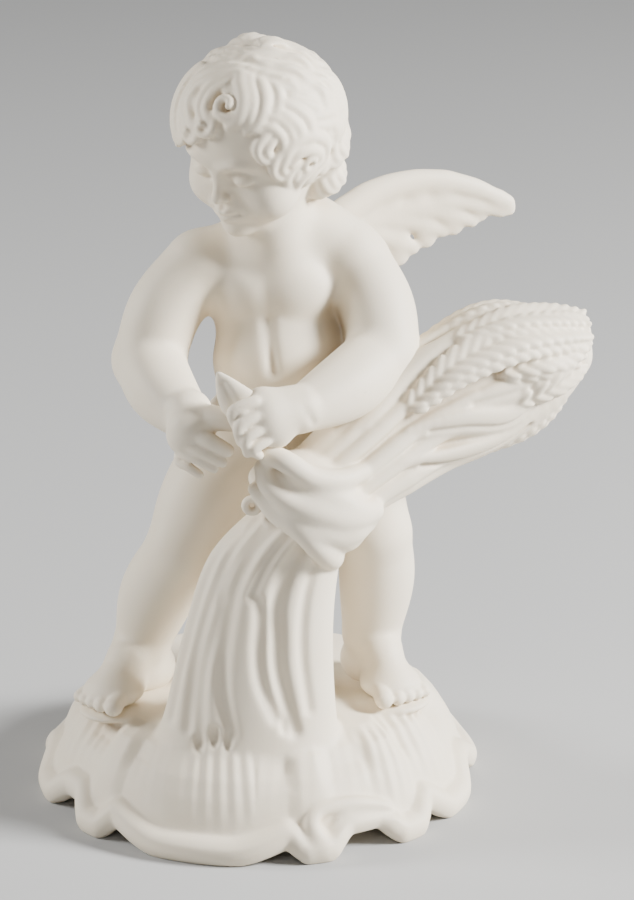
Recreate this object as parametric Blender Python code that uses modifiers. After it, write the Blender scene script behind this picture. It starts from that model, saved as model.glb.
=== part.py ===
"""A winged child binding a sheaf of wheat, one piece of bisque porcelain on a mound with a scalloped rim.

The child faces -Y and its own left is +X. The origin is on the table, below the middle of the mound.
"""

import math

import bmesh
import bpy
import numpy as np
from mathutils import Matrix, Vector

# Driving dimensions, in metres
FIGURE_HEIGHT = 0.1365  # flat top of the mound to the top of the curls
MOUND_HEIGHT = 0.0215  # table to the flat top that the child stands on
RIM_RADIUS = 0.0452  # middle of the mound to the outside of its rim
TOP_RADIUS = 0.0300  # the flat top, to where it rolls over into the skirt
FOOT_RADIUS = 0.0330  # the flat underside that the piece stands on
RIM_THICKNESS = 0.0050  # the rolled rim
RIM_LIFT = 0.0042  # how far the rim arches off the table between its lobes
LOBE_DEPTH = 0.0022  # how far a lobe stands out past an arch
SET_FORWARD = 0.0030  # how far in front of the middle of the mound the child's own middle is
WALL_SOFTNESS = 6  # passes that round off the joins, as the glaze-free slip does
GRAIN = 0.0009  # edge of the cells that the clay is melted together in
FACETS = 9300  # triangles of the finished piece

# The child is drawn in millimetres of a figure of this height, measured from the flat top of the mound
DRAWN_HEIGHT = 136.5
BODY = Matrix.Translation((0, -SET_FORWARD, MOUND_HEIGHT)) @ Matrix.Scale(FIGURE_HEIGHT / DRAWN_HEIGHT, 4)

# The rim's lobes: the bearing of each and half its width, in degrees round from the front towards +X
LOBES = [(-77, 10), (-49, 6.5), (-16, 24), (16.5, 7), (45, 7), (67, 11),
         (103, 14), (142, 14), (180, 14), (218, 14), (252, 11)]


def primitive(create, **sizes):
    """The points and faces of one of Blender's primitives, to be copied with numpy."""
    form = bmesh.new()
    create(form, **sizes)
    form.verts.index_update()
    points = np.array([vert.co[:] for vert in form.verts])
    faces = [[vert.index for vert in face.verts] for face in form.faces]
    form.free()
    return points, faces


BALL = primitive(bmesh.ops.create_uvsphere, u_segments=24, v_segments=14, radius=1)
BEAD = primitive(bmesh.ops.create_uvsphere, u_segments=12, v_segments=8, radius=1)
ROD = primitive(bmesh.ops.create_cone, cap_ends=True, segments=12, radius1=1, radius2=1, depth=2)

points_of_clay, faces_of_clay, count_of_clay = [], [], 0


def add(points, faces, matrix=Matrix.Identity(4)):
    """One more closed form for the clay, put in place by a matrix."""
    global count_of_clay
    placed = np.asarray(points) @ np.array(matrix)[:3, :3].T + np.array(matrix)[:3, 3]
    points_of_clay.append(placed)
    faces_of_clay.extend([[corner + count_of_clay for corner in face] for face in faces])
    count_of_clay += len(placed)


def turned(z=0, x=0, y=0):
    """A turn about Z, then the turned piece's own X, then its own Y, in degrees."""
    return (Matrix.Rotation(math.radians(z), 3, "Z") @ Matrix.Rotation(math.radians(x), 3, "X")
            @ Matrix.Rotation(math.radians(y), 3, "Y"))


def pointed(along, up):
    """The turn that takes X to one direction and Z as near as it can to another."""
    along = Vector(along).normalized()
    side = Vector(up).cross(along).normalized()
    return Matrix((along, side, along.cross(side))).transposed()


def ball(frame, centre, radii, turn=None):
    """An egg with its own half-axes."""
    matrix = frame @ Matrix.Translation(centre)
    if turn:
        matrix = matrix @ turn.to_4x4()
    add(*(BALL if max(radii) > 6 else BEAD), matrix @ Matrix.Diagonal(Vector(radii)).to_4x4())


def curved(points, values, steps):
    """Points and radii read from a smooth curve through the ones given."""
    points = [Vector(p) for p in points]
    ends = [2 * points[0] - points[1]] + points + [2 * points[-1] - points[-2]]
    smooth, wide = [], []
    for i in range(len(points) - 1):
        before, start, end, after = ends[i:i + 4]
        for step in range(steps):
            t = step / steps
            bend = 2 * start + (end - before) * t + (2 * before - 5 * start + 4 * end - after) * t**2
            smooth.append((bend + (3 * start - before - 3 * end + after) * t**3) / 2)
            wide.append(values[i] * (1 - t) + values[i + 1] * t)
    return smooth + [points[-1]], wide + [values[-1]]


def limb(frame, points, radii, steps=3, flat=None):
    """A rounded bar along a curve; flat is a direction and the share that its thickness there is pressed to."""
    points, radii = curved(points, radii, steps)
    press = Matrix.Identity(4)
    if flat:
        normal, share = Vector(flat[0]).normalized(), flat[1]
        press = Matrix.Scale(share, 4, normal)
    for point, radius in zip(points, radii):
        place = frame @ Matrix.Translation(point)
        add(*(BALL if radius > 6 else BEAD), place @ press @ Matrix.Scale(radius, 4))
    for start, end, first, second in zip(points, points[1:], radii, radii[1:]):
        reach = end - start
        turn = reach.to_track_quat("Z", "Y").to_matrix().to_4x4()
        corners, faces = ROD
        tapered = corners * np.where(corners[:, 2:] < 0, (first, first, reach.length / 2),
                                     (second, second, reach.length / 2))
        add(tapered, faces, frame @ Matrix.Translation((start + end) / 2) @ press @ turn)


def rim_down(bearing):
    """1 where a lobe of the rim stands on the table, 0 on the arches between."""
    nearest = 0
    for middle, half_width in LOBES:
        away = abs((bearing - middle + 180) % 360 - 180)
        nearest = max(nearest, 1.35 - away / half_width)
    return min(nearest, 1)


def base():
    """The mound: rings from the middle of the underside out round the rim and in over the flat top."""
    corners = []
    count = 180  # corners of a ring
    # each ring: a share of the way from the flat top to the rim's edge and an offset, or 0 and its own radius;
    # its height; the share of the arch's lift that it takes
    for share_in, radius_out, height, lifted in (
            (0, FOOT_RADIUS * 0.5, -RIM_THICKNESS, 0),
            (0, FOOT_RADIUS, -RIM_THICKNESS, 0),
            (0, FOOT_RADIUS + 0.001, 0.0015, 0),
            (1, -RIM_THICKNESS * 0.75, 0.0012, 1),
            (1, -RIM_THICKNESS * 0.25, -0.0002, 1),
            (1, 0, RIM_THICKNESS * 0.4, 1),
            (1, -RIM_THICKNESS * 0.2, RIM_THICKNESS * 0.85, 1),
            (1, -RIM_THICKNESS * 0.6, RIM_THICKNESS * 1.1, 1),
            (1, -RIM_THICKNESS * 0.9, RIM_THICKNESS * 1.2, 0.8),
            (0.77, 0, MOUND_HEIGHT * 0.37, 0.6),
            (0.65, 0, MOUND_HEIGHT * 0.56, 0.4),
            (0.50, 0, MOUND_HEIGHT * 0.745, 0.2),
            (0.28, 0, MOUND_HEIGHT * 0.905, 0.1),
            (0, TOP_RADIUS, MOUND_HEIGHT * 0.975, 0),
            (0, TOP_RADIUS * 0.75, MOUND_HEIGHT * 1.0, 0),
            (0, TOP_RADIUS * 0.3, MOUND_HEIGHT * 1.02, 0)):
        for i in range(count):
            bearing = 360 * i / count
            down = rim_down(bearing)
            edge = RIM_RADIUS - LOBE_DEPTH * (1 - down)
            if share_in == 1:
                radius = edge + radius_out
            elif radius_out:
                radius = radius_out
            else:
                radius = TOP_RADIUS + (edge - TOP_RADIUS) * share_in
            z = height + lifted * RIM_LIFT * (1 - down)
            angle = math.radians(bearing)
            corners.append((radius * math.sin(angle), -radius * math.cos(angle), z))
    faces = [list(range(count))[::-1], list(range(len(corners) - count, len(corners)))]
    for first in range(0, len(corners) - count, count):
        for i in range(first, first + count):
            j = first + (i + 1 - first) % count
            faces.append([i, j, j + count, i + count])
    add(corners, faces)


def legs():
    for hip, thigh, knee, calf, ankle, wide in (
            ((-2.4, 2.5, 51), (-9.8, -1.5, 41.2), (-14.9, -5.5, 31.5), (-20, -2.1, 20.8), (-23.3, -1, 9.8), 5.4),
            ((13, 3, 52), (19.3, 1, 43.3), (23.6, -1, 33.5), (24, 1.8, 22.6), (23, 3, 10.5), 5.8)):
        limb(BODY, [hip, thigh, knee], (10.6, 9.6, 7.6), steps=4)
        limb(BODY, [knee, calf, ankle], (7.3, 7.6, wide), steps=4)
    foot(Vector((-23.3, -1.0, 9.8)), Vector((-30.5, -12.0, 0)), -1)
    foot(Vector((23.0, 3.0, 10.5)), Vector((28.0, -8.5, 0)), 1)


def foot(ankle, toes, side):
    """Heel, instep and five toes; side is 1 on the left foot and -1 on the right."""
    level = Vector((toes.x - ankle.x, toes.y - ankle.y, 0))
    forward = level.normalized()
    outward = side * Vector((-forward.y, forward.x, 0))
    up = Vector((0, 0, 1))
    heel = Vector((ankle.x, ankle.y, 3.8)) - forward * 2.2
    ball_of_foot = Vector((ankle.x, ankle.y, 3.1)) + forward * (level.length - 3.2)
    ball(BODY, heel, (4.9, 4.6, 4.6))
    limb(BODY, [ankle, heel + up], (5.0, 4.4))
    limb(BODY, [ankle - up * 0.5, (ankle + ball_of_foot) / 2 + up * 1.2, ball_of_foot], (5.0, 4.5, 3.5))
    ball(BODY, ball_of_foot, (5.8, 6.2, 3.2), pointed(forward, up))
    for across, thick, reach in ((-4.0, 1.95, 3.6), (-0.9, 1.4, 3.2), (1.45, 1.3, 2.8), (3.55, 1.2, 2.3),
                                 (5.35, 1.15, 1.7)):
        start = ball_of_foot + outward * across * 0.92 + forward * 1.6 + up * (thick - 2.3)
        tip = ball_of_foot + outward * across * 1.04 + forward * (2.2 + reach) + up * (thick - 2.9)
        limb(BODY, [start, (start + tip) / 2 + up * 0.45, tip], (thick, thick, thick), steps=1)


def torso():
    ball(BODY, (3.2, 2.5, 83.5), (13.2, 9.6, 12.5))
    ball(BODY, (5.0, 0.2, 69.5), (13.6, 11.6, 12.5))
    ball(BODY, (4.8, 2.5, 56.0), (13.6, 11.0, 10.0))
    ball(BODY, (8.6, -4.8, 84.5), (5.8, 3.4, 5.0), turned(14))
    ball(BODY, (-3.4, -3.8, 84.5), (5.6, 3.3, 5.0), turned(-24))
    ball(BODY, (3.8, -5.4, 67.5), (9.0, 6.2, 8.8))
    limb(BODY, [(-9.5, 3, 89.5), (4.5, 4.5, 93.5), (18.5, 3.5, 89.5)], (5.6, 6.4, 5.8))
    for x in (-3.5, 12):
        ball(BODY, (x, 9.1, 85.5), (6.5, 3.4, 8))
    for x in (-1.0, 11.6):
        ball(BODY, (x, 8.8, 52.5), (7.4, 7.0, 7.6))
    limb(BODY, [(5.2, 2.0, 90), (3.4, 0, 98), (2.2, -1, 107)], (8.0, 7.4, 8.0))


def arms():
    for shoulder, upper, elbow, fore, wrist in (
            ((-11.4, 2, 88.3), (-17.9, -0.3, 80), (-21.2, -3, 70.5), (-18.2, -12.3, 67.4),
             (-12.8, -21.5, 64.6)),
            ((19.9, 2.5, 88.3), (23.8, -2.3, 81.1), (25.2, -7.2, 73), (17.6, -17.2, 69.9), (8.8, -26, 68))):
        limb(BODY, [shoulder, upper, elbow], (7.0, 7.4, 7.0))
        limb(BODY, [elbow, fore, wrist], (6.9, 6.7, 4.4))


def right_hand():
    """Open, its fingers laid over the sheaf and its thumb against the other fist."""
    wrist, palm = Vector((-12.8, -21.5, 64.6)), Vector((-12.0, -25.0, 61.0))
    limb(BODY, [wrist, palm], (4.4, 4.6))
    ball(BODY, palm + Vector((-0.6, -0.6, -0.8)), (4.2, 5.6, 4.8), turned(y=40))
    for knuckle, tip, thick in (
            ((-11.2, -28.6, 60.6), (-5.8, -29.4, 57.6), 1.75),
            ((-13.0, -28.4, 58.6), (-6.9, -29.4, 54.6), 1.45),
            ((-14.4, -27.6, 56.4), (-8.8, -28.8, 52.8), 1.35),
            ((-15.0, -26.4, 54.2), (-11.7, -27.8, 51.0), 1.2)):
        knuckle, tip = Vector(knuckle), Vector(tip)
        bend = (knuckle + tip) / 2 + Vector((-0.2, -0.7, 0.5))
        limb(BODY, [palm * 0.45 + knuckle * 0.55, knuckle, bend, tip],
             (thick * 1.25, thick * 1.1, thick, thick * 0.86), steps=2)
    limb(BODY, [palm + Vector((1.5, 0.4, 1.8)), (-6.4, -27.0, 63.8), (-2.6, -27.6, 63.6)], (3.2, 2.5, 2.1))


def left_hand():
    """A fist round the end of the tie."""
    back = Vector((2.4, -28.8, 67.2))
    limb(BODY, [(8.8, -26.0, 68.0), back], (4.5, 4.8))
    ball(BODY, back + Vector((-0.2, 0.2, -1.0)), (5.6, 4.6, 5.6), turned(y=-20))
    for start, bend, tip, thick in (
            ((-1.6, -31.2, 70.0), (-5.2, -31.2, 68.4), (-4.8, -30.6, 64.6), 1.65),
            ((-1.8, -32.0, 67.4), (-4.2, -32.6, 65.4), (-4.2, -31.6, 62.0), 1.60),
            ((-1.5, -32.2, 64.8), (-2.8, -33.0, 63.0), (-2.8, -32.0, 59.6), 1.55),
            ((-0.2, -31.8, 62.4), (-1.4, -32.6, 60.8), (-0.9, -31.8, 58.2), 1.45)):
        limb(BODY, [(back + Vector(start)) / 2, start, bend, tip],
             (thick * 1.3, thick * 1.15, thick * 1.05, thick * 0.85), steps=2)


# The head's own frame: the face looks along -Y, bowed and turned towards the child's right hand
HEAD = BODY @ Matrix.Translation((0.4, -4.4, 118.9)) @ turned(-38, 19, 3).to_4x4()


def head():
    """A calm child's face on plain proportions: eyes half way down the head, nose and mouth thirds below."""
    ball(HEAD, (0, 1.5, 0.4), (14.0, 15.0, 13.4))
    ball(HEAD, (0, -4.6, 2.5), (11.6, 9.6, 9.6))
    ball(HEAD, (0, -4.2, -7.5), (10.6, 8.6, 10.4))
    ball(HEAD, (0, 4, -10), (9, 9, 9))
    ball(HEAD, (0, -7.6, -15.6), (5.6, 4.8, 4.6))
    limb(HEAD, [(0, -13.0, -3.6), (0, -14.2, -6.6), (0, -15.6, -9.3)], (1.2, 1.3, 1.8))
    ball(HEAD, (0, -12.2, -13.8), (3.6, 2.4, 2.8))
    ball(HEAD, (0, -11.0, -17.9), (2.6, 2.3, 2.1))
    for side in (-1, 1):
        ball(HEAD, (side * 6.0, -7.4, -10.8), (5.6, 5.4, 5.4))
        limb(HEAD, [(side * 1.6, -13.6, -2.6), (side * 5, -13.2, -1.6), (side * 8.4, -10.8, -2.4)], (0.8, 1.2, 0.8))
        ball(HEAD, (side * 13.0, 1.5, -6.5), (1.6, 2.6, 3.6))


SKULL = Vector((15.2, 16.2, 14.2))  # half-axes of the head with the flat hair on it
SKULL_MIDDLE = Vector((0, 1.5, 0.2))


def lock(bearing, rise, size, start, turns):
    """One comma-shaped lock: a tube wound inwards on the skull, over a low swelling."""
    bearing, rise = math.radians(bearing), math.radians(rise)
    out = Vector((math.sin(bearing) * math.cos(rise), -math.cos(bearing) * math.cos(rise), math.sin(rise)))
    reach = 1 / Vector(out[i] / SKULL[i] for i in range(3)).length
    middle = SKULL_MIDDLE + out * reach
    level = Vector((0, 0, 1)).cross(out).normalized() if abs(out.z) < 0.98 else Vector((1, 0, 0))
    steep = out.cross(level)
    ball(HEAD, middle - out * 0.6, (size * 0.92, size * 0.92, 2.2), pointed(level, out))
    steps = max(7, int(9 * abs(turns)))
    points, radii = [], []
    for i in range(steps + 1):
        share = i / steps
        angle = math.radians(start) + 2 * math.pi * turns * share
        radius = size * (1 - 0.72 * share**0.9)
        proud = 0.2 + 1.25 * share**0.8 - radius**2 / 34
        points.append(middle + (level * math.cos(angle) + steep * math.sin(angle)) * radius + out * proud)
        radii.append(size * (0.22 + 0.16 * math.sin(math.pi * min(1, share * 1.15))))
    limb(HEAD, points, radii, steps=1)


def hair():
    """Short thick curls, large over the forehead and ears, in staggered rows behind."""
    ball(HEAD, (0, 3.4, 0.6), (15.4, 14.8, 12.8))
    ball(HEAD, (0, 6, -6), (13.4, 10.5, 9.5))
    ball(HEAD, (9.5, 8.5, -9.5), (6.2, 6.0, 6.0))
    for bearing, rise, size, start, turns in (
            (-34, 30, 4.6, 200, 0.9), (-12, 32, 4.4, 150, -0.9), (10, 30, 4.7, 90, -1.2), (34, 30, 4.8, 60, -1),
            (-24, 52, 4.6, 120, 0.8), (4, 56, 5.0, 150, -0.8), (32, 54, 4.8, 60, -0.9), (0, 84, 5.2, 0, 1.1),
            (-54, 12, 4.4, 150, 0.9), (-66, -8, 4.2, 140, 1.0), (-76, -28, 4.2, 160, 1.0),
            (56, 12, 4.6, 60, -1.0), (62, -8, 4.4, 20, -1.1), (72, -28, 4.2, 20, -1.1)):
        lock(bearing, rise, size, start, turns)
    rows = ((62, 5, 60), (36, 8, 62), (10, 9, 66), (-16, 8, 78), (-38, 6, 92))
    for row, (rise, count, first) in enumerate(rows):
        for i in range(count):
            uneven = (0.37 * (i + 1) + 0.61 * (row + 1) + 0.13 * i * row) % 1
            bearing = first + (360 - 2 * first) * i / (count - 1)
            lock(bearing, rise + 5 * (uneven - 0.5), 4.6 + 0.6 * (uneven - 0.5), 360 * uneven,
                 (0.9 + 0.3 * uneven) * (-1) ** (row + i))


def wing(root, bearing, side):
    """A small raised wing: a thick leading edge, a thin web and a fan of feathers laid on its front."""
    bearing = math.radians(bearing)
    out = Vector((math.sin(bearing), math.cos(bearing), 0))
    normal = Vector((out.y, -out.x, 0)) * side

    def at(along, up, proud=0.0):
        bow = 1.8 * math.sin(math.pi * along / 46)
        return Vector(root) + out * along + Vector((0, 0, up)) + normal * (proud - bow)

    edge = ((-3, -3.4, 3), (6.5, 3, 3.1), (17, 7.8, 2.9), (28, 8.8, 2.5), (38, 6.6, 2.1), (46.4, 2.3, 1.7))
    limb(BODY, [at(along, up) for along, up, _ in edge], [thick for _, _, thick in edge], flat=(normal, 0.72))
    for along, top, bottom in ((-1, -3, -10), (5, 2, -16.2), (10, 4, -14.6), (15, 6, -10.6), (20, 6.5, -6.2),
                               (26, 7, -3.2), (32, 6.5, -1.2), (38, 5.2, 0.2), (44, 2.8, 0.8)):
        limb(BODY, [at(along, top), at(along + 1.2, (top + bottom) / 2), at(along + 2.6, bottom)],
             (3.4, 3.2, 2.4 if along < 40 else 1.6), steps=2, flat=(normal, 0.38))
    for start, end, width in (((24, 4.0), (44.5, 0.6), 1.5), ((18, 3.5), (38.5, -0.9), 1.7),
                              ((13, 2), (32.0, -2.2), 1.8), ((9, 0), (25.6, -5.0), 1.9),
                              ((5, -3), (20.0, -8.6), 2.0), ((2, -6), (14.2, -13.0), 2.0)):
        middle = at((start[0] + end[0]) / 2, (start[1] + end[1]) / 2 + 1.4, 0.9)
        limb(BODY, [at(*start, 0.5), middle, at(*end, 0.3)], (width, width, width * 0.7), flat=(normal, 0.5))


def section(station, next_station, upright):
    """A bundle's centre at one place, with its half-width and half-depth as vectors."""
    centre, width, depth = Vector(station[0]), station[1], station[2]
    if upright:
        return centre, Vector((width, 0, 0)), Vector((0, depth, 0))
    along = (Vector(next_station[0]) - centre).normalized()
    steep = (Vector((0, 0, 1)) - along * along.z).normalized()
    return centre, steep * width, along.cross(steep) * -depth


LOWER_SHEAF = [((-1.8, -20.5, -6), 19.5, 11.0), ((-1.2, -20.3, 3), 17.0, 10.0), ((0.6, -20.5, 21), 14.6, 9.4),
               ((3.8, -20.5, 36), 12.8, 9.0), ((10.2, -20.0, 47), 9.0, 8.0)]
UPPER_SHEAF = [((9, -20.5, 46), 8.5, 8.5), ((19, -15.5, 53.3), 10.4, 8.6), ((30, -9.0, 59.6), 13.2, 9.4),
               ((42, -4.2, 65.0), 15.0, 10.0), ((54, -0.4, 69.4), 13.2, 9.4), ((64, 2.4, 72.4), 8.2, 6.6)]


def stalks(bundle, count, sway, radii):
    """Bars round a bundle, each a little out of its even place."""
    for i in range(count):
        angle = math.radians(360 * i / count) + sway * math.sin(i * 2.4)
        fat = 1 + sway * 2.5 * math.sin(i * 1.9 + 0.6)
        wide_share, deep_share = 0.86 * math.cos(angle), 0.86 * math.sin(angle)
        path = [centre + wide * wide_share + deep * deep_share for centre, wide, deep in bundle]
        limb(BODY, path, [fat * radius for radius in radii])


def sheaf():
    """Stalks fanned out on the mound, drawn in at the tie and opening again into a long head of ears."""
    lower = [section(station, None, True) for station in LOWER_SHEAF]
    upper = [section(station, UPPER_SHEAF[min(i + 1, 5)] if i < 5 else ((74, 5.2, 75.4), 0, 0), False)
             for i, station in enumerate(UPPER_SHEAF)]
    for bundle in (lower, upper):
        for offset in (-0.42, 0, 0.42):
            limb(BODY, [centre + wide * offset for centre, wide, _ in bundle],
                 [deep.length * (0.8 - abs(offset) * 0.24) for _, _, deep in bundle])
    stalks(lower, 17, 0.11, (3.0, 2.8, 2.35, 2.0, 1.7))
    stalks(upper[:4], 18, 0.08, (1.5, 1.7, 1.9, 1.5))
    ears(upper)


def ears(upper):
    """Three tiers of ears laid round the head of the sheaf."""
    def on(station, angle, proud):
        station = min(station, len(upper) - 1.001)
        i, share = int(station), station % 1
        centre, wide, deep = (upper[i][k].lerp(upper[i + 1][k], share) for k in range(3))
        radial = wide * math.cos(angle) + deep * math.sin(angle)
        return centre + radial * proud, radial.normalized()

    tiers = ((2.1, 3.9, 9, 0, 2.7), (3.1, 4.75, 9, 0.35, 2.7), (3.9, 5.3, 6, 0, 2.4))
    for tier, (first, last, count, phase, wide) in enumerate(tiers):
        for i in range(count):
            angle = 2 * math.pi * i / count + phase
            shift = 0.22 * math.sin(i * 2.3 + tier)
            start, out = on(first + shift, angle, 0.88)
            end, _ = on(last + shift, angle + 0.12, 0.94)
            radii = (wide * 0.9, wide, wide * 0.6)
            limb(BODY, [start, (start + end) / 2 + out * 0.9, end], radii, flat=(out, 0.8))


def band():
    """The straw tie: four turns of a rope round the sheaf, and its end drawn up through the fist."""
    middle = Vector((10.6, -20.4, 47.6))
    along = Vector((0.60, 0.16, 0.74)).normalized()
    across = Vector((0, -1, 0)).cross(along).normalized()
    deep = along.cross(across)
    ball(BODY, middle, (9.4, 10.8, 9.0), Matrix((along, across, deep)).transposed())
    turns = 24
    for offset, thick in ((-4.8, 1.9), (-1.7, 2.0), (1.5, 2.0), (4.6, 1.9)):
        ring = []
        for i in range(turns + 1):
            angle = 2 * math.pi * i / turns
            ring.append(middle + along * (offset + 0.7 * math.sin(angle + offset))
                        + across * math.cos(angle) * 10.9 + deep * math.sin(angle) * 9.6)
        limb(BODY, ring, [thick] * len(ring), steps=1)
    end = [(1.6, -29, 50.5), (-0.6, -30.2, 58), (-1.4, -29.6, 65), (-4.4, -28.6, 70.4), (-7.4, -27.6, 75.8)]
    limb(BODY, end, (3.2, 2.8, 2.6, 3.4, 0.9))


def bisque():
    """Unglazed porcelain: warm white, matt, dense."""
    material = bpy.data.materials.new("bisque_porcelain")
    material.use_nodes = True
    shader = material.node_tree.nodes["Principled BSDF"]
    shader.inputs["Base Color"].default_value = (0.76, 0.70, 0.61, 1)
    shader.inputs["Roughness"].default_value = 0.6
    shader.inputs["Metallic"].default_value = 0.0
    return material


def figurine():
    """All the clay as one object, melted together, eased, cut to facets and ground flat underneath."""
    mesh = bpy.data.meshes.new("cherub_figurine")
    mesh.from_pydata(np.concatenate(points_of_clay).tolist(), [], faces_of_clay)
    mesh.materials.append(bisque())
    piece = bpy.data.objects.new("cherub_figurine", mesh)
    named = bpy.data.collections.new("Cherub figurine")
    cutters = bpy.data.collections.new("Cutters")
    bpy.context.scene.collection.children.link(named)
    bpy.context.scene.collection.children.link(cutters)
    named.objects.link(piece)

    melt = piece.modifiers.new("Melt", "REMESH")
    melt.mode = "VOXEL"
    melt.voxel_size = GRAIN
    ease = piece.modifiers.new("Ease", "SMOOTH")
    ease.factor = 0.5
    ease.iterations = WALL_SOFTNESS
    bpy.context.view_layer.update()
    fine = piece.evaluated_get(bpy.context.evaluated_depsgraph_get()).data
    triangles = sum(len(face.vertices) - 2 for face in fine.polygons)
    facet = piece.modifiers.new("Facet", "DECIMATE")
    facet.ratio = FACETS / triangles

    grinder_mesh = bpy.data.meshes.new("table_cut")
    cut = bmesh.new()
    bmesh.ops.create_cube(cut, size=1, matrix=Matrix.Translation((0, 0, -RIM_THICKNESS))
                          @ Matrix.Diagonal((4 * RIM_RADIUS, 4 * RIM_RADIUS, 2 * RIM_THICKNESS, 1)))
    cut.to_mesh(grinder_mesh)
    cut.free()
    grinder = bpy.data.objects.new("table_cut", grinder_mesh)
    cutters.objects.link(grinder)
    grinder.hide_render = True
    grinder.display_type = "WIRE"
    grind = piece.modifiers.new("Grind", "BOOLEAN")
    grind.operation = "DIFFERENCE"
    grind.object = grinder


for leftover in list(bpy.data.objects):
    bpy.data.objects.remove(leftover)
base()
legs()
torso()
arms()
head()
hair()
wing((9, 11.5, 90.0), 64.5, 1)
wing((-2, 12.5, 90.0), -12, -1)
sheaf()
band()
right_hand()
left_hand()
figurine()
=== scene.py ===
"""The finish of a bisque porcelain figurine: a winged child ties a sheaf of wheat on a scalloped mound."""
import math

import bpy
import numpy as np
import openvdb
from mathutils import Matrix, Vector


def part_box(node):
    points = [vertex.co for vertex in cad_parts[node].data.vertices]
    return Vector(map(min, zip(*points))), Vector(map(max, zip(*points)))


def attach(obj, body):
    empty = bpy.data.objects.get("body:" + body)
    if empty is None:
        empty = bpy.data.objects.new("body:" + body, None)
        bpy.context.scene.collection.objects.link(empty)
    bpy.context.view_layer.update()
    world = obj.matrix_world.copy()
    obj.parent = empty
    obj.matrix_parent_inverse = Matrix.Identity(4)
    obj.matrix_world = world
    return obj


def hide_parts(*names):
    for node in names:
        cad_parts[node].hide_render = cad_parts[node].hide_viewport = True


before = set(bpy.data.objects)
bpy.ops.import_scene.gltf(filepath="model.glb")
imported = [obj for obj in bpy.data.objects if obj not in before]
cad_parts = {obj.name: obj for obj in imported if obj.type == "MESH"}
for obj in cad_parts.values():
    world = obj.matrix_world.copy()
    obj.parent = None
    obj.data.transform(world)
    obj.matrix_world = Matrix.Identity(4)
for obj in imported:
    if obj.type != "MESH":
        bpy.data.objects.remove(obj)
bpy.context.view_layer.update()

# The view: the photograph's camera stands a little above the child, straight in front of the mound, with a
# long lens that hardly narrows the head.
PHOTO_HEIGHT = 900  # pixels
VIEW_FROM_ABOVE = math.radians(20)
VIEW_DISTANCE = 0.90
VIEW_TARGET = Vector((0.012, -0.003, 0.072))
PIXELS_PER_METRE = 5020  # at the target
SENSOR = 36.0

towards_camera = Vector((0, -math.cos(VIEW_FROM_ABOVE), math.sin(VIEW_FROM_ABOVE)))
camera = bpy.data.objects.new("Camera", bpy.data.cameras.new("Camera"))
camera.location = VIEW_TARGET + towards_camera * VIEW_DISTANCE
camera.rotation_euler = (-towards_camera).to_track_quat("-Z", "Y").to_euler()
camera.data.sensor_width = SENSOR
camera.data.lens = SENSOR * VIEW_DISTANCE * PIXELS_PER_METRE / PHOTO_HEIGHT
camera.data.clip_start = 0.05
bpy.context.scene.collection.objects.link(camera)
bpy.context.scene.camera = camera

# The slip-cast clay: the child and what it stands on come out of plaster moulds as soft rounded masses,
# which are pressed together wet and eased over with a brush. Each mass is a ball or a limb in a block of
# clay, a grid of distances to the surface, and it flows into its neighbours over a blend width.
# Millimetres, from the flat top of the mound.
CAD_HEIGHT = 157.94
MOUND_HEIGHT = 21.5
SET_FORWARD = 3.0  # how far in front of the middle of the mound the child's own middle is
node_low, node_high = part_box("cherub_figurine")
METRES = (node_high[2] - node_low[2]) / CAD_HEIGHT
BODY = Matrix.Identity(4)


def turned(z=0, x=0, y=0):
    """A turn about Z, then about the turned piece's own X, then its own Y, in degrees."""
    return (Matrix.Rotation(math.radians(z), 3, "Z") @ Matrix.Rotation(math.radians(x), 3, "X")
            @ Matrix.Rotation(math.radians(y), 3, "Y"))


def pointed(along, up):
    """The turn that takes X to one direction and Z as near as it can to another."""
    along = Vector(along).normalized()
    side = Vector(up).cross(along).normalized()
    return Matrix((along, side, along.cross(side))).transposed()


def curved(points, radii, steps):
    """Points and radii read from a smooth curve through the ones given."""
    rows = np.column_stack([np.array([tuple(p) for p in points], float), np.ones(len(points)) * radii])
    if len(rows) < 3 or steps < 2:
        return rows[:, :3], rows[:, 3]
    ends = np.vstack([2 * rows[0] - rows[1], rows, 2 * rows[-1] - rows[-2]])
    smooth = []
    for before, start, end, after in zip(ends, ends[1:], ends[2:], ends[3:]):
        for t in np.arange(steps) / steps:
            bend = 2 * start + (end - before) * t + (2 * before - 5 * start + 4 * end - after) * t**2
            smooth.append((bend + (3 * start - before - 3 * end + after) * t**3) / 2)
    smooth = np.array(smooth + [rows[-1]])
    return smooth[:, :3], np.maximum(smooth[:, 3], 0.05)


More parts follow.
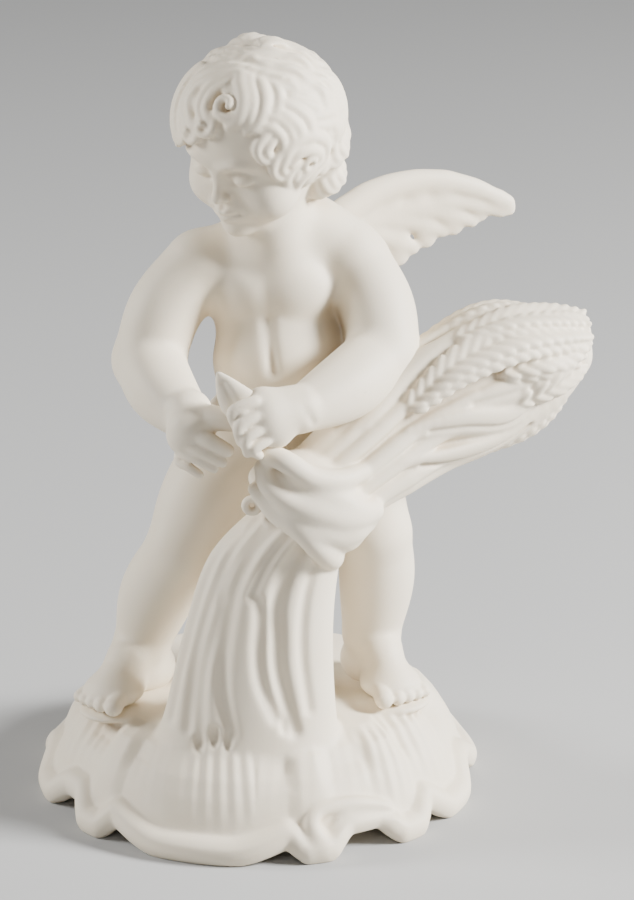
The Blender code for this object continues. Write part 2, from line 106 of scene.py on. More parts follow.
class Clay:
    """A block of clay between two corners."""

    CLEAR = 6.0  # the farthest that the grid needs to see

    def __init__(self, low, high, grain):
        self.low, self.grain = np.array(low, float), grain
        self.count = np.ceil((np.array(high, float) - self.low) / grain).astype(int) + 1
        self.depth = np.full(self.count, self.CLEAR, np.float32)

    def cells(self, low, high):
        """The slices of the grid between two corners."""
        first = np.clip(np.floor((np.asarray(low) - self.low) / self.grain).astype(int), 0, self.count - 1)
        last = np.clip(np.ceil((np.asarray(high) - self.low) / self.grain).astype(int) + 1, 1, self.count)
        return tuple(slice(a, max(a + 1, b)) for a, b in zip(first, last))

    def axes(self, where):
        """The cells' places, one open array for each direction."""
        lines = [(start + self.grain * np.arange(part.start, part.stop)).astype(np.float32)
                 for start, part in zip(self.low, where)]
        return np.meshgrid(*lines, indexing="ij", sparse=True)

    def press(self, where, mass, blend, cut=False):
        """Adds a mass, or takes it away, and eases the join over the blend width."""
        clay = self.depth[where]
        if cut:
            ease = np.maximum(blend - np.abs(clay + mass), 0) / blend
            np.maximum(clay, -mass, out=clay)
            clay += ease * ease * (blend / 4)
        else:
            ease = np.maximum(blend - np.abs(clay - mass), 0) / blend
            np.minimum(clay, mass, out=clay)
            clay -= ease * ease * (blend / 4)

    def ball(self, place, centre, radii, turn=None, blend=1.0, cut=False):
        """An egg with its own half-axes."""
        centre = np.array(place @ Vector(centre))
        turn = np.array(place.to_3x3() @ (turn or Matrix.Identity(3)))
        radii = np.array(radii, float)
        half = np.sqrt(((turn * radii) ** 2).sum(1)) + blend + 2 * self.grain
        where = self.cells(centre - half, centre + half)
        away = [axis - np.float32(c) for axis, c in zip(self.axes(where), centre)]
        near = steep = 0
        for i in range(3):
            own = sum(away[k] * np.float32(turn[k, i]) for k in range(3))
            near = near + (own / radii[i]) ** 2
            steep = steep + (own / radii[i] ** 2) ** 2
        near, steep = np.sqrt(near), np.sqrt(steep)
        mass = (near * (near - 1) / np.maximum(steep, 1e-5)).astype(np.float32)
        mass[steep < 1e-5] = -radii.min()
        self.press(where, mass, blend, cut)

    def limb(self, place, points, radii, steps=3, blend=1.0, flat=None, cut=False):
        """A rounded bar along a curve; flat is a normal and the share of the thickness left along it."""
        points, radii = curved([place @ Vector(p) for p in points], radii, steps)
        reach = radii[:, None] + blend + 2 * self.grain
        where = self.cells((points - reach).min(0), (points + reach).max(0))
        axes = self.axes(where)
        mass = np.full(self.depth[where].shape, 99, np.float32)
        squeeze = np.eye(3)
        if flat:
            normal = np.array((place.to_3x3() @ Vector(flat[0])).normalized())
            squeeze = squeeze + np.outer(normal, normal) * (1 / flat[1] - 1)
        softer = 1 if not flat else 0.5 + 0.5 * flat[1]
        for start, end, first, last in zip(points, points[1:], radii, radii[1:]):
            margin = max(first, last) + blend + 2 * self.grain
            near = self.cells(np.minimum(start, end) - margin, np.maximum(start, end) + margin)
            part = tuple(slice(max(0, n.start - w.start), n.stop - w.start) for n, w in zip(near, where))
            in_reach = [tuple(p if n > 1 else slice(None) for p, n in zip(part, axis.shape))
                        for axis in axes]
            away = [axis[own] - np.float32(s) for axis, own, s in zip(axes, in_reach, start)]
            if flat:
                away = [sum(away[k] * np.float32(squeeze[i, k]) for k in range(3)) for i in range(3)]
            bar = squeeze @ (end - start)
            share = sum(a * np.float32(b) for a, b in zip(away, bar)) / np.float32(max(bar @ bar, 1e-9))
            share = np.clip(share, 0, 1)
            gap = np.sqrt(sum((a - share * np.float32(b)) ** 2 for a, b in zip(away, bar)))
            gap = (gap - np.float32(first) - share * np.float32(last - first)) * np.float32(softer)
            np.minimum(mass[part], gap, out=mass[part])
        self.press(where, mass, blend, cut)

    def lump(self, low, high):
        """An empty block on the same grid, for masses that join each other before they join the rest."""
        where = self.cells(low, high)
        lump = Clay.__new__(Clay)
        lump.grain, lump.where = self.grain, where
        lump.low = self.low + np.array([part.start for part in where]) * self.grain
        lump.count = np.array([part.stop - part.start for part in where])
        lump.depth = np.full(lump.count, self.CLEAR, np.float32)
        return lump

    def join(self, lump, blend):
        self.press(lump.where, lump.depth, blend)

    def brush(self, strokes):
        """Eases the whole surface over, as a wet brush does."""
        for _ in range(strokes):
            for axis in range(3):
                row = np.moveaxis(self.depth, axis, 0)
                row[1:-1] = 0.25 * row[:-2] + 0.5 * row[1:-1] + 0.25 * row[2:]

    def fired(self, name, triangles):
        """The finished surface as a mesh object in metres, standing on the table."""
        grid = openvdb.FloatGrid(self.CLEAR)
        grid.copyFromArray(self.depth)
        points, threes, fours = grid.convertToPolygons(isovalue=0.0, adaptivity=0.0)
        points = (points * self.grain + self.low + (0, -SET_FORWARD, MOUND_HEIGHT)) * METRES
        mesh = bpy.data.meshes.new(name)
        mesh.from_pydata(points.tolist(), [], fours[:, ::-1].tolist() + threes[:, ::-1].tolist())
        piece = bpy.data.objects.new(name, mesh)
        bpy.context.scene.collection.objects.link(piece)
        thin = piece.modifiers.new("Thin", "DECIMATE")
        thin.ratio = min(1, triangles / (2 * len(fours) + len(threes)))
        bpy.context.view_layer.update()
        evaluated = piece.evaluated_get(bpy.context.evaluated_depsgraph_get())
        finished = bpy.data.meshes.new_from_object(evaluated)
        piece.modifiers.clear()
        piece.data = finished
        finished.name = name
        bpy.data.meshes.remove(mesh)
        finished.shade_smooth()
        return piece


GRAIN = 0.31  # millimetres from one cell to the next
TRIANGLES = 190000  # for each of the two pieces

# The mound: thrown-looking, with a skirt that is ribbed by a comb in the mould and a rolled rim that stands
# on scalloped lobes and arches off the table between them. The foot inside it is flat.
RIM_RADIUS, FOOT_RADIUS = 45.2, 33.0
RIM_THICKNESS, RIM_LIFT, LOBE_DEPTH = 5.0, 4.2, 2.2
RIBS, RIB_HEIGHT = 88, 0.30
RIBBED_FROM, RIBBED_TO = 3.2, 15  # in from the rim
RIB_PATCHES = 5  # the comb bit deeper in patches round the skirt
# the rim's lobes: the bearing of each middle and half its width, in degrees
LOBES = [(-77, 10), (-49, 6.5), (-16, 24), (16.5, 7), (45, 7), (67, 11), (103, 14), (142, 14), (180, 14),
         (218, 14), (252, 11)]
# the profile, from the rim inwards
IN_FROM_RIM = [0, 2.2, 3.2, 4.2, 5.5, 7.5, 10.5, 15, 24, 46]
HEIGHT_THERE = [2.0, 3.6, 4.8, 8.4, 11.6, 15.0, 18.6, 20.8, 21.6, 22.0]

MOUND_LOW = (-49, -47, -MOUND_HEIGHT - 3)
stand = Clay(MOUND_LOW, (77, 51, 82), GRAIN)


def rim_down(bearing):
    """1 where a lobe of the rim stands on the table, 0 on the arches between; degrees."""
    nearest = np.zeros_like(bearing)
    for middle, half_width in LOBES:
        away = np.abs((bearing - middle + 180) % 360 - 180)
        nearest = np.maximum(nearest, 1.35 - away / half_width)
    down = np.clip(nearest, 0, 1)
    return down * down * (3 - 2 * down)


where = stand.cells(MOUND_LOW, (49, 51, 3))
x, y, z = stand.axes(where)
y = y - SET_FORWARD
radius = np.sqrt(x**2 + y**2)
bearing = np.degrees(np.arctan2(x, -y))
lift = RIM_LIFT * (1 - rim_down(bearing))
inward = RIM_RADIUS - LOBE_DEPTH * lift / RIM_LIFT - radius
top = np.interp(inward, IN_FROM_RIM, HEIGHT_THERE).astype(np.float32) - MOUND_HEIGHT
top = top + lift * np.clip((8 - inward) / 5, 0, 1)
ribbed = np.clip((inward - RIBBED_FROM) / 1.6, 0, 1) * np.clip((RIBBED_TO - inward) / 3, 0, 1)
fan = np.degrees(np.arctan2(x - 1, -(y - 2))) + 14 * (0.8 - inward / 45) * np.sign(x)
rib_patch = 0.15 + 0.85 * np.clip(1.6 * np.cos(np.radians((fan + 12) * RIB_PATCHES)) + 0.4, 0, 1)
top = top + RIB_HEIGHT * np.cos(np.radians(fan * RIBS)) * ribbed * rib_patch
under = -MOUND_HEIGHT + lift * np.clip((radius - FOOT_RADIUS) / 5, 0, 1)
mound = np.maximum(np.maximum((z - top) * 0.6, 1.0 - inward), under + 0.1 - z).astype(np.float32)
stand.press(where, mound, 0.8)

bearings = np.radians(np.arange(0, 361, 2.0))
rim_lift = RIM_LIFT * (1 - rim_down(np.degrees(bearings)))
rim_radius = RIM_RADIUS - RIM_THICKNESS / 2 - LOBE_DEPTH * rim_lift / RIM_LIFT
roll = [Vector((r * math.sin(b), SET_FORWARD - r * math.cos(b), -MOUND_HEIGHT + RIM_THICKNESS * 0.48 + up))
        for r, b, up in zip(rim_radius, bearings, rim_lift)]
stand.limb(BODY, roll, RIM_THICKNESS / 2, steps=1, blend=2.0)


def on_mound(bearing, radius, height):
    """A point by its bearing and radius from the middle of the mound and its height over the table."""
    bearing = math.radians(bearing)
    ahead = SET_FORWARD - radius * math.cos(bearing)
    return Vector((radius * math.sin(bearing), ahead, height - MOUND_HEIGHT))


# a scroll rolled on the rim at the front, towards the child's left, the groove outside it, and a low pad for
# each foot
SCROLL = [(17.5, 43.0, 3.2), (15.2, 42.0, 7.0), (17.5, 40.6, 9.3), (24, 40.2, 9.8), (31, 40.6, 9.4),
          (38, 41.4, 7.6)]
SCROLL_GROOVE = [(20, 43.4, 6.6), (27, 43.4, 8.2), (34, 43.2, 8.0), (40, 43.2, 6.6)]
stand.limb(BODY, [on_mound(*spot) for spot in SCROLL], (2.2, 1.7, 1.5, 1.5, 1.4, 0.9), steps=5, blend=1.3)
stand.limb(BODY, [on_mound(*spot) for spot in SCROLL_GROOVE], (0.7, 1.0, 0.9, 0.4), steps=5, blend=1.2,
           cut=True)
stand.ball(BODY, (27.2, -5.5, -0.9), (7.6, 7.2, 1.5), turned(-25), blend=1.2)
stand.ball(BODY, (-28.4, -9.2, -1.3), (7.6, 7.0, 1.5), turned(30), blend=1.2)

# The sheaf: stalks fanned out on the mound, drawn in at the tie and opening again over the child's left
# side. It is cast hollow with the mound, so the stalks die into it.
LOWER_SHEAF = [(-1.8, -6, 19.5, 11.0), (-1.2, 3, 17.0, 10.0), (0.6, 21, 14.6, 9.4), (3.8, 36, 12.8, 9.0),
               (10.2, 47, 9.0, 8.0), (14.0, 53, 8.0, 7.5)]  # middle, height, half-width and half-depth
SHEAF_Y = -20.4
LOWER_TOP = 49  # cut off inside the tie
stations, depths = curved([spot[:3] for spot in LOWER_SHEAF], [spot[3] for spot in LOWER_SHEAF], 6)
sheaf = stand.lump((-30, -38, -8), (77, 20, 82))
where = stand.cells((-26, -34, -8), (26, -6, 50))
x, y, z = stand.axes(where)
u = (x - np.interp(z, stations[:, 1], stations[:, 0])) / np.interp(z, stations[:, 1], stations[:, 2])
wide, deep = np.interp(z, stations[:, 1], stations[:, 2]), np.interp(z, stations[:, 1], depths)
v = (y - SHEAF_Y) / deep
near = np.sqrt(u**2 + v**2) + 1e-3
stalks = ((near - 1) * near / np.sqrt((u / wide) ** 2 + (v / deep) ** 2 + 1e-6)).astype(np.float32)
stalks = np.maximum(stalks, z - LOWER_TOP)
shift = tuple(slice(a.start - b.start, a.stop - b.start) for a, b in zip(where, sheaf.where))
sheaf.press(shift, stalks, 1.0)


def on_stalks(share, height, front=-1):
    """A point on the front or the back of the lower sheaf, a share of its half-width from its middle."""
    across, wide, deep = (np.interp(height, stations[:, 1], column)
                          for column in (stations[:, 0], stations[:, 2], depths))
    return Vector((across + wide * share, SHEAF_Y + front * deep * math.sqrt(1 - share**2), height))


# furrows between the stalks, as shares of the half-width and heights, each with its depth
for path, deep in (
        ([(-0.48, 46), (-0.52, 40), (-0.50, 33), (-0.49, 27), (-0.45, 18), (-0.38, 10), (-0.22, 2)], 1.15),
        ([(0.32, 42.5), (0.20, 37), (0.16, 29.5), (0.24, 22), (0.30, 15.5), (0.42, 8), (0.52, 2)], 1.15),
        ([(-0.12, 30), (-0.04, 26), (0.02, 18), (0.12, 11.5), (0.30, 5)], 0.75),
        ([(-0.90, 45), (-0.84, 39.5), (-0.78, 32), (-0.80, 25), (-0.80, 17), (-0.76, 9), (-0.72, 2)], 0.95),
        ([(-0.97, 42), (-0.97, 38), (-0.94, 32), (-0.95, 25), (-0.95, 18), (-0.95, 11), (-0.93, 3)], 0.7),
        ([(-0.62, 29), (-0.64, 22), (-0.66, 14.5), (-0.62, 7), (-0.54, 0)], 0.7),
        ([(-0.69, 44), (-0.67, 36), (-0.66, 29)], 0.5), ([(-0.12, 44), (-0.18, 38), (-0.24, 31)], 0.4),
        ([(0.62, 40), (0.56, 30), (0.60, 18), (0.70, 6)], 0.5)):
    radii = [deep * 0.5] + [deep] * (len(path) - 2) + [deep * 0.8]
    sheaf.limb(BODY, [on_stalks(*spot) for spot in path], radii, steps=5, blend=1.9, cut=True)
# plainer ones at the back
for i in range(8):
    share = -0.86 + 0.245 * i + 0.05 * math.sin(i * 2.1)
    spots = (share * 0.9, 44), (share, 24 + 3 * math.sin(i)), (share, 0)
    sheaf.limb(BODY, [on_stalks(*spot, 1) for spot in spots], (0.5, 0.95, 0.8), steps=6, blend=1.8, cut=True)
# hollows where the stalks part on the mound
for share, height, size in ((-0.40, 1.2, 1.5), (-0.56, -0.6, 1.3), (-0.24, 0.4, 1.2), (0.40, 3.5, 1.1)):
    sheaf.ball(BODY, on_stalks(share, height), (size * 0.8, size, size * 1.6), blend=1.0, cut=True)

# centre, half-width and half-depth; the thick core stops one station short of the tip
UPPER_SHEAF = [((9, -20.5, 46), 8.5, 8.5), ((19, -15.5, 53.3), 10.2, 8.6), ((30, -9.0, 59.6), 12.8, 9.2),
               ((42, -4.2, 65.0), 14.4, 9.8), ((54, -0.4, 69.4), 12.0, 8.8), ((62.0, 1.8, 71.6), 6.6, 5.6),
               ((69, 4.2, 74.0), 5.2, 4.4)]
CORE_SHARES = (0.78, 0.80, 0.84, 0.88, 0.84, 0.7)
upper = []
for i, (centre, half_width, half_depth) in enumerate(UPPER_SHEAF):
    last = min(i, len(UPPER_SHEAF) - 2)
    along = (Vector(UPPER_SHEAF[last + 1][0]) - Vector(UPPER_SHEAF[last][0])).normalized()
    steep = (Vector((0, 0, 1)) - along * along.z).normalized()
    upper.append((Vector(centre), steep * half_width, steep.cross(along) * half_depth))
core = upper[:-1]
for offset in (-0.5, -0.25, 0, 0.25, 0.5):
    radii = [deep.length * share * (1 - abs(offset) * 0.4) for (_, _, deep), share in zip(core, CORE_SHARES)]
    sheaf.limb(BODY, [centre + wide * offset for centre, wide, _ in core], radii, steps=5, blend=2.0)


def on_head(station, angle, proud):
    """A point on the sheaf's head, at an angle round it from its upper side, and the way out of it there."""
    station = min(station, len(upper) - 1.001)
    i, share = int(station), station % 1
    centre, wide, deep = (upper[i][k].lerp(upper[i + 1][k], share) for k in range(3))
    radial = wide * math.cos(angle) + deep * math.sin(angle)
    return centre + radial * proud, radial.normalized()


def along_head(path, proud, steps=6):
    """A smooth path over the head of the sheaf, with the ways out of it."""
    spots = [on_head(station, angle, proud) for station, angle in path]
    points, _ = curved([point for point, _ in spots], 1, steps)
    outs, _ = curved([out for _, out in spots], 1, steps)
    return [Vector(point) for point in points], [Vector(out).normalized() for out in outs]


# bare stalks from the tie, then long smooth leaves, then the ears with their grains in a plait
STALK_COUNT = 15
for i in range(STALK_COUNT):
    angle = 2 * math.pi * i / STALK_COUNT + 0.07 * math.sin(i * 3.1)
    points, _ = along_head([(0.0, angle), (1.0, angle - 0.06), (2.0, angle - 0.1), (2.9, angle - 0.1)], 0.86)
    smooth = 0.6 if 3.4 < angle < 4.6 else 0  # stouter low on the front
    radii = np.interp(np.arange(len(points)), (0, 9, len(points) - 1), (1.6 + smooth, 1.9 + smooth, 1.1))
    sheaf.limb(BODY, points, radii, steps=1, blend=0.45 + smooth)


def leaf(path, wide, proud, groove=0.5):
    """A long smooth leaf with a groove down its middle."""
    points, outs = along_head(path, proud)
    middle, total = outs[len(outs) // 2], len(points) - 1
    radii = [wide * (0.25 + 0.75 * math.sin(math.pi * (0.1 + 0.85 * i / total))) for i in range(total + 1)]
    sheaf.limb(BODY, points, radii, steps=1, blend=0.6, flat=(middle, 0.5))
    tops = [point + out * radius * 0.5 for point, out, radius in zip(points, outs, radii)]
    sheaf.limb(BODY, tops[2:-2], groove, steps=1, blend=0.9, cut=True)


GRAIN_PITCH = 2.2  # from one grain of an ear to the next


def ear(path, wide=1.0):
    """An ear: a core, and on each side of it two rows of grains that point outwards and up."""
    points, outs = along_head(path, 0.93, steps=10)
    total = len(points) - 1
    reach = sum((b - a).length for a, b in zip(points, points[1:]))
    radii = [wide * 1.9 * math.sin(math.pi * (0.15 + 0.72 * i / total)) for i in range(total + 1)]
    sheaf.limb(BODY, points, radii, steps=1, blend=0.5)
    grains = int(reach / GRAIN_PITCH)
    for j in range(grains):
        at = (j + 0.5) / grains * total
        i = int(min(at, total - 1))
        point, out = points[i].lerp(points[i + 1], at - i), outs[i]
        along = (points[i + 1] - points[i]).normalized()
        side = out.cross(along).normalized()
        out = along.cross(side)
        plump = wide * (0.40 + 0.72 * math.sin(math.pi * (0.08 + 0.82 * (j + 0.5) / grains)))
        for hand in (-1, 1):
            inner = point + side * hand * 1.6 * plump + out * 1.5 * plump
            outer = point + side * hand * 3.0 * plump + out * 0.5 * plump
            sheaf.ball(BODY, inner, (3.0 * plump, 1.1 * plump, 1.0 * plump),
                       pointed(along * 0.84 + side * hand * 0.52 + out * 0.14, out), blend=0.4)
            sheaf.ball(BODY, outer, (2.6 * plump, 1.0 * plump, 1.1 * plump),
                       pointed(along * 0.85 + side * hand * 0.5 - out * 0.05, out), blend=0.25)


leaf([(1.3, 5.75), (2.1, 6.1), (2.8, 6.2), (3.3, 6.15)], 4.2, 0.88)
leaf([(2.3, 6.05), (3.1, 6.2), (3.8, 6.15), (4.45, 6.05)], 4.0, 0.86)
leaf([(1.8, 4.9), (2.6, 4.55), (3.3, 4.2), (4.1, 4.25)], 4.0, 0.86)
leaf([(1.5, 4.5), (2.3, 4.0), (3.1, 3.75), (3.9, 3.8)], 3.8, 0.86)
leaf([(2.6, 4.85), (3.3, 4.7), (4.0, 4.6), (4.7, 4.75)], 3.2, 0.88, 0.4)
for i, start in enumerate((1.9, 2.4, 1.7, 2.6, 2.0)):
    leaf([(start, 0.55 + 0.6 * i), (start + 0.9, 0.6 + 0.6 * i), (start + 1.8, 0.5 + 0.6 * i)], 3.6, 0.88)
ear([(1.95, 5.30), (2.8, 5.42), (3.7, 5.47), (4.7, 5.50), (5.35, 5.4)], 1.1)
ear([(3.4, 5.02), (4.0, 4.98), (4.6, 5.0), (5.2, 5.2)], 0.95)
ear([(3.0, 5.86), (3.7, 5.84), (4.5, 5.86), (5.5, 5.75)], 1.0)
ear([(3.5, 4.45), (4.1, 4.45), (4.6, 4.5), (4.95, 4.6)], 0.85)
for i, (start, end) in enumerate(((2.6, 4.5), (3.5, 5.2), (2.8, 4.8), (3.4, 5.1), (2.7, 4.6))):
    ear([(start, 0.3 + 0.66 * i), ((start + end) / 2, 0.32 + 0.66 * i), (end, 0.3 + 0.66 * i)])
stand.join(sheaf, 0.9)

# The tie: a straw rope wound round the sheaf's waist in soft turns that spread to the right, its end drawn
# up through the child's left fist and cut to a point.
TIE_MIDDLE = Vector((10.6, -20.4, 47.6))
tie_along = Vector((0.60, 0.16, 0.74)).normalized()
tie_across = Vector((0, -1, 0)).cross(tie_along).normalized()
tie_deep = tie_along.cross(tie_across)
tie = stand.lump((-16, -40, 26), (34, -4, 82))
tie.ball(BODY, TIE_MIDDLE, (9.4, 10.8, 9.0), Matrix((tie_along, tie_across, tie_deep)).transposed())
tie.ball(BODY, (10.6, -24.2, 51.2), (10.6, 7.0, 6.6), turned(y=22), blend=2)
for offset, thick in ((-4.9, 2.1), (-1.8, 2.3), (1.5, 2.2), (4.4, 1.8)):
    ring, radii = [], []
    for i in range(41):
        angle = 2 * math.pi * i / 40
        right = (1 - math.cos(angle)) / 2
        ring.append(TIE_MIDDLE + tie_along * (offset * (0.72 + 0.40 * right) + 0.9 * math.sin(angle + offset))
                    + tie_across * math.cos(angle) * 10.2 + tie_deep * math.sin(angle) * 8.8)
        radii.append(thick + 0.6 * right)
    tie.limb(BODY, ring, radii, steps=1, blend=1.4)
# the folds over its front: a place and half the thickness there
for fold in (
        [(2.6, -29.6, 60.6, 2.0), (6.4, -30.6, 59.0, 2.2), (11.0, -30.0, 55.8, 2.2), (16.3, -27.4, 54.2, 2.2),
         (20.5, -23.6, 54.4, 1.8)],
        [(1.6, -28.8, 57.2, 1.8), (2.8, -29.6, 54.0, 2.1), (6.8, -30.2, 51.0, 2.4), (12.4, -29.8, 48.6, 2.6),
         (18.5, -27.0, 46.6, 2.8), (22.6, -22.6, 46.2, 2.4)],
        [(0.0, -26.8, 52.2, 1.4), (4.6, -28.6, 47.2, 1.9), (11.0, -29.6, 44.6, 2.1), (18.4, -26.0, 43.4, 2.4),
         (21.4, -22, 43.6, 2.2)]):
    tie.limb(BODY, [spot[:3] for spot in fold], [spot[3] for spot in fold], steps=6, blend=1.2)
tie.ball(BODY, (9.0, -26.6, 54.6), (6.4, 4.4, 3.6), turned(y=16), blend=1.5)
# the pointed end, and the small loop beside the knot
tie.limb(BODY, [(1.0, -27.4, 64), (-1.6, -28.6, 68.6), (-4.3, -28.6, 72.2), (-6.8, -28.2, 76.2)],
         (4.0, 4.2, 3.0, 0.8), steps=5, blend=0.9, flat=((0.1, 1, 0.1), 0.5))
tie.limb(BODY, [(-3.4, -31.0, 69.5), (-4.6, -30.4, 72.0), (-6.0, -29.2, 74.6)], (0.2, 0.3, 0.1), blend=1.4,
         cut=True)
LOOP_MIDDLE, LOOP_RADIUS = Vector((-0.6, -26.0, 48.4)), 1.3
loop = [LOOP_MIDDLE + Vector((math.cos(a), 0.2, math.sin(a))) * LOOP_RADIUS
        for a in np.linspace(0, 2 * math.pi, 13)]
tie.limb(BODY, loop, 0.9, steps=1, blend=0.6)
tie.ball(BODY, (-0.6, -27.0, 48.4), (0.6, 2.0, 0.7), blend=0.4, cut=True)
stand.join(tie, 0.8)
# everything under the table's plane comes off
where = stand.cells(MOUND_LOW, (49, 51, -MOUND_HEIGHT + 4))
x, y, z = stand.axes(where)
stand.depth[where] = np.maximum(stand.depth[where], -MOUND_HEIGHT - z)

# The child: a chubby three-year-old, cast hollow with the head. Arms and legs taper in soft rolls to small
# hands and feet, which are luted on.
child = Clay((-46, -40, -4), (66, 62, 142), GRAIN)
flesh = child.lump((-40, -38, -3), (42, 26, 112))
flesh.ball(BODY, (3.2, 2.5, 83.5), (13.2, 9.6, 12.5), blend=3)
flesh.ball(BODY, (5.0, 0.2, 69.5), (13.6, 11.6, 12.5), blend=4)
flesh.ball(BODY, (4.8, 2.5, 56.0), (13.6, 11.0, 10.0), blend=4)
flesh.ball(BODY, (9.0, -4.2, 85.0), (6.4, 3.4, 5.4), turned(14), blend=1.8)
flesh.ball(BODY, (-3.4, -3.2, 85.0), (5.8, 3.2, 5.2), turned(-24), blend=1.8)
flesh.ball(BODY, (3.8, -5.4, 67.5), (9.0, 6.2, 8.8), blend=3)
flesh.limb(BODY, [(-9.5, 3, 89.5), (4.5, 4.5, 93.5), (18.5, 3.5, 89.5)], (5.6, 6.4, 5.8), blend=3.5)
for x in (-3.5, 12):
    flesh.ball(BODY, (x, 9.1, 85.5), (6.5, 3.4, 8), blend=2.5)
flesh.ball(BODY, (-1.0, 8.8, 52.5), (7.4, 7.0, 7.6), blend=1.8)
flesh.ball(BODY, (11.6, 8.8, 52.5), (7.4, 7.0, 7.6), blend=1.0)
flesh.limb(BODY, [(5.2, 2.0, 90), (3.4, 0, 98), (2.2, -1, 107)], (8.0, 7.4, 8.0), blend=3)
flesh.limb(BODY, [(9.0, 3.5, 97.0), (17.0, 3.5, 92.4)], (6.6, 6.2), blend=2.5)
flesh.limb(BODY, [(2.2, -7.8, 80), (2.8, -9.9, 76), (3.4, -11.7, 71)], (0.2, 0.25, 0.2), blend=2.6, cut=True)
RIGHT_ANKLE, LEFT_ANKLE = (-23.3, -1.0, 9.8), (23.0, 3.0, 10.5)
for hip, thigh, knee, calf, ankle, wide in (
        ((-2.4, 2.5, 51), (-9.8, -1.5, 41.2), (-14.9, -5.5, 31.5), (-20.0, -2.1, 20.8), RIGHT_ANKLE, 5.4),
        ((13.0, 3.0, 52), (19.3, 1.0, 43.3), (23.6, -1.0, 33.5), (24.0, 1.8, 22.6), LEFT_ANKLE, 5.8)):
    flesh.limb(BODY, [hip, thigh, knee], (10.6, 9.4, 7.2), steps=12, blend=3)
    flesh.limb(BODY, [knee, calf, ankle], (7.1, 7.6, wide), steps=12, blend=1.4)
for shoulder, upper_arm, elbow, forearm, wrist in (
        ((-11.4, 2.0, 88.3), (-17.9, -0.3, 80.0), (-21.2, -3.0, 70.5), (-18.2, -12.3, 67.4),
         (-12.8, -21.5, 64.6)),
        ((19.9, 2.5, 88.3), (23.8, -2.3, 81.1), (25.2, -7.2, 73.0), (17.6, -17.2, 69.9), (8.8, -26.0, 68.0))):
    flesh.limb(BODY, [shoulder, upper_arm, elbow], (7.0, 7.4, 7.0), steps=12, blend=2.6)
    flesh.limb(BODY, [elbow, forearm, wrist], (6.9, 6.7, 4.4), steps=14, blend=1.6)
flesh.ball(BODY, (3.9, -11.6, 65.6), (0.9, 1.2, 0.8), blend=0.8, cut=True)
flesh.limb(BODY, [(4.6, 15.5, 61), (4.6, 13.2, 74), (4.4, 13.6, 91)], (0.4, 0.7, 0.5), blend=3, cut=True)
child.join(flesh, 0.8)


# The feet: bare, each a heel, a high instep and five round toes. They are luted on at the ankle and stand on
# the low pads of the mound.
# for each toe: how far across the ball of the foot, half its thickness and how far it reaches
TOES = (-3.9, 1.9, 3.8), (-0.8, 1.5, 3.5), (1.55, 1.4, 3.0), (3.7, 1.3, 2.4), (5.6, 1.25, 1.7)


def foot(ankle, toes, side):
    """Heel, instep and five toes; side is 1 on the left foot and -1 on the right."""
    low, high = Vector(map(min, ankle, toes)), Vector(map(max, ankle, toes))
    part = child.lump(low - Vector((14, 14, 14)), high + Vector((12, 12, 12)))
    level = Vector((toes.x - ankle.x, toes.y - ankle.y, 0))
    forward = level.normalized()
    outward = side * Vector((-forward.y, forward.x, 0))
    up = Vector((0, 0, 1))
    heel = Vector((ankle.x, ankle.y, 3.6)) - forward * 2.2
    ball_of_foot = Vector((ankle.x, ankle.y, 2.9)) + forward * (level.length - 3.2)
    part.ball(BODY, heel, (4.9, 4.6, 4.4))
    part.limb(BODY, [ankle, heel + up], (5.0, 4.4), blend=2)
    instep = (ankle + ball_of_foot) / 2 + up * 1.2
    part.limb(BODY, [ankle - up * 0.5, instep, ball_of_foot + up * 0.3], (5.0, 4.5, 3.5), steps=4, blend=2.2)
    part.limb(BODY, [heel, ball_of_foot + up * 0.7], (4.3, 3.4), blend=2.5)
    part.ball(BODY, ball_of_foot, (5.8, 6.2, 3.0), pointed(forward, up), blend=2)
    for across, thick, reach in TOES:
        start = ball_of_foot + outward * across * 0.92 + forward * 1.6 + up * (thick - 2.3)
        tip = ball_of_foot + outward * across * 1.04 + forward * (2.2 + reach) + up * (thick - 2.9)
        part.limb(BODY, [start, (start + tip) / 2 + up * 0.45, tip], (thick * 0.9, thick * 0.9, thick),
                  blend=0.4)
    child.join(part, 1.2)


foot(Vector(RIGHT_ANKLE), Vector((-30.5, -12.0, 0.5)), -1)
foot(Vector(LEFT_ANKLE), Vector((28.0, -8.5, 0.5)), 1)

# The hands: small and plump, luted on at the wrist. The right lies open on the sheaf, and the left is closed
# round the end of the tie.
hand = child.lump((-26, -40, 44), (16, -12, 84))
wrist, palm = Vector((-12.8, -21.5, 66.0)), Vector((-12.0, -25.4, 64.6))
hand.limb(BODY, [wrist, palm], (4.6, 4.2), blend=1.5)
hand.ball(BODY, palm + Vector((-0.4, -0.8, -0.9)), (4.6, 3.8, 5.0), turned(y=32), blend=1.5)
for knuckle, tip, thick in (
        ((-11.0, -28.4, 64.0), (-5.2, -29.6, 61.2), 1.50),
        ((-12.6, -28.4, 61.9), (-6.2, -29.6, 58.7), 1.15),
        ((-13.8, -27.6, 60.2), (-7.8, -29.0, 57.2), 1.05),
        ((-14.6, -26.4, 58.0), (-10.6, -28.0, 55.6), 0.95)):
    knuckle, tip = Vector(knuckle), Vector(tip)
    joint = (knuckle + tip) / 2 + Vector((-0.2, -0.6, 0.4))
    hand.limb(BODY, [palm * 0.5 + knuckle * 0.5, knuckle, joint, tip],
              (thick * 1.5, thick * 1.2, thick * 1.05, thick * 0.9), steps=4, blend=0.3)
thumb = [palm + Vector((1.0, 0.4, 1.4)), (-7.4, -27.0, 66.8), (-3.6, -27.8, 66.6)]
hand.limb(BODY, thumb, (3.2, 2.5, 2.2), steps=4, blend=0.8)
child.join(hand, 0.9)
hand = child.lump((-16, -40, 44), (20, -14, 84))
back = Vector((2.6, -28.4, 68.0))
